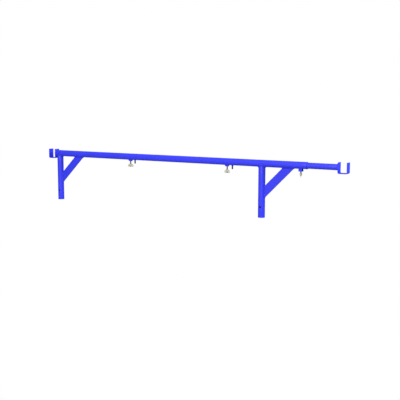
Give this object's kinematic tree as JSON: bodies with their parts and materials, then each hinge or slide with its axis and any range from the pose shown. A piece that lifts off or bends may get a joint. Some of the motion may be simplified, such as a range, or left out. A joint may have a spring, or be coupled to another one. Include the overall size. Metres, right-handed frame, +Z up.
{
  "type": "pull up bar",
  "caption": "Long round pull-up bar on two braced legs that plug into rack uprights, with an open U saddle at each end, one on a telescopic tube locked by a wing screw.",
  "frame": {"origin": "midway between the axes of the two legs, level with the ends of their feet", "axes": "+X along the bar towards the telescopic saddle, +Y to the back, +Z up"},
  "size_m": [2.1016, 0.0468, 0.336],
  "materials": {
    "blue_paint": "glossy powder coat",
    "painted_weld": "powder coat over rippled weld bead",
    "dark_pin": "dark satin",
    "zinc_thread": "zinc plated thread",
    "zinc_casting": "satin zinc casting"
  },
  "bodies": {
    "frame": {"main_bar": "blue_paint", "left_leg": "blue_paint", "left_leg_weld": "painted_weld", "left_brace": "blue_paint", "left_brace_lower_weld": "painted_weld", "left_brace_upper_weld": "painted_weld", "left_saddle": "blue_paint", "left_saddle_weld": "painted_weld", "right_leg": "blue_paint", "right_leg_weld": "painted_weld", "right_brace": "blue_paint", "right_brace_lower_weld": "painted_weld", "right_brace_upper_weld": "painted_weld", "accessory_1_nut": "blue_paint", "accessory_1_nut_weld": "painted_weld", "accessory_1_pin": "dark_pin", "accessory_1_pin_weld": "painted_weld", "accessory_2_nut": "blue_paint", "accessory_2_nut_weld": "painted_weld", "accessory_2_pin": "dark_pin", "accessory_2_pin_weld": "painted_weld", "lock_cage": "blue_paint", "lock_cage_front_weld": "painted_weld", "lock_cage_back_weld": "painted_weld"},
    "extension": {"extension_tube": "blue_paint", "right_saddle": "blue_paint", "right_saddle_weld": "painted_weld"},
    "accessory_1_screw_stem": {"accessory_1_screw_stem": "zinc_thread"},
    "accessory_1_screw_wings": {"accessory_1_screw_wings": "zinc_casting"},
    "accessory_2_screw_stem": {"accessory_2_screw_stem": "zinc_thread"},
    "accessory_2_screw_wings": {"accessory_2_screw_wings": "zinc_casting"},
    "lock_screw_stem": {"lock_screw_stem": "zinc_thread"},
    "lock_screw_wings": {"lock_screw_wings": "zinc_casting"}
  },
  "joints": [
    {"name": "extension_slide", "type": "slide", "parent": "frame", "child": "extension", "axis": [1, 0, 0], "range_m": [-0.165, 0.16]},
    {"name": "accessory_1_screw_travel", "type": "slide", "parent": "frame", "child": "accessory_1_screw_stem", "axis": [0, 0, 1], "range_m": [-0.00625, 0.01375]},
    {"name": "accessory_1_screw_turn", "type": "hinge", "parent": "accessory_1_screw_stem", "child": "accessory_1_screw_wings", "pos_m": [-0.1695, 0, 0.2655], "axis": [0, 0, 1], "range_deg": [-1800, 3960]},
    {"name": "accessory_2_screw_travel", "type": "slide", "parent": "frame", "child": "accessory_2_screw_stem", "axis": [0, 0, 1], "range_m": [-0.005, 0.01625]},
    {"name": "accessory_2_screw_turn", "type": "hinge", "parent": "accessory_2_screw_stem", "child": "accessory_2_screw_wings", "pos_m": [0.527, 0, 0.2632], "axis": [0, 0, 1], "range_deg": [-1440, 4680]},
    {"name": "lock_screw_travel", "type": "slide", "parent": "frame", "child": "lock_screw_stem", "axis": [0, 0, 1], "range_m": [-0.0125, 0]},
    {"name": "lock_screw_turn", "type": "hinge", "parent": "lock_screw_stem", "child": "lock_screw_wings", "pos_m": [0.992, 0, 0.26485], "axis": [0, 0, 1], "range_deg": [-3600, 0]}
  ],
  "couplings": [
    {"joint": "accessory_1_screw_travel", "follows": "accessory_1_screw_turn", "m_per_rad": 0.00019894},
    {"joint": "accessory_2_screw_travel", "follows": "accessory_2_screw_turn", "m_per_rad": 0.00019894},
    {"joint": "lock_screw_travel", "follows": "lock_screw_turn", "m_per_rad": 0.00019894}
  ]
}
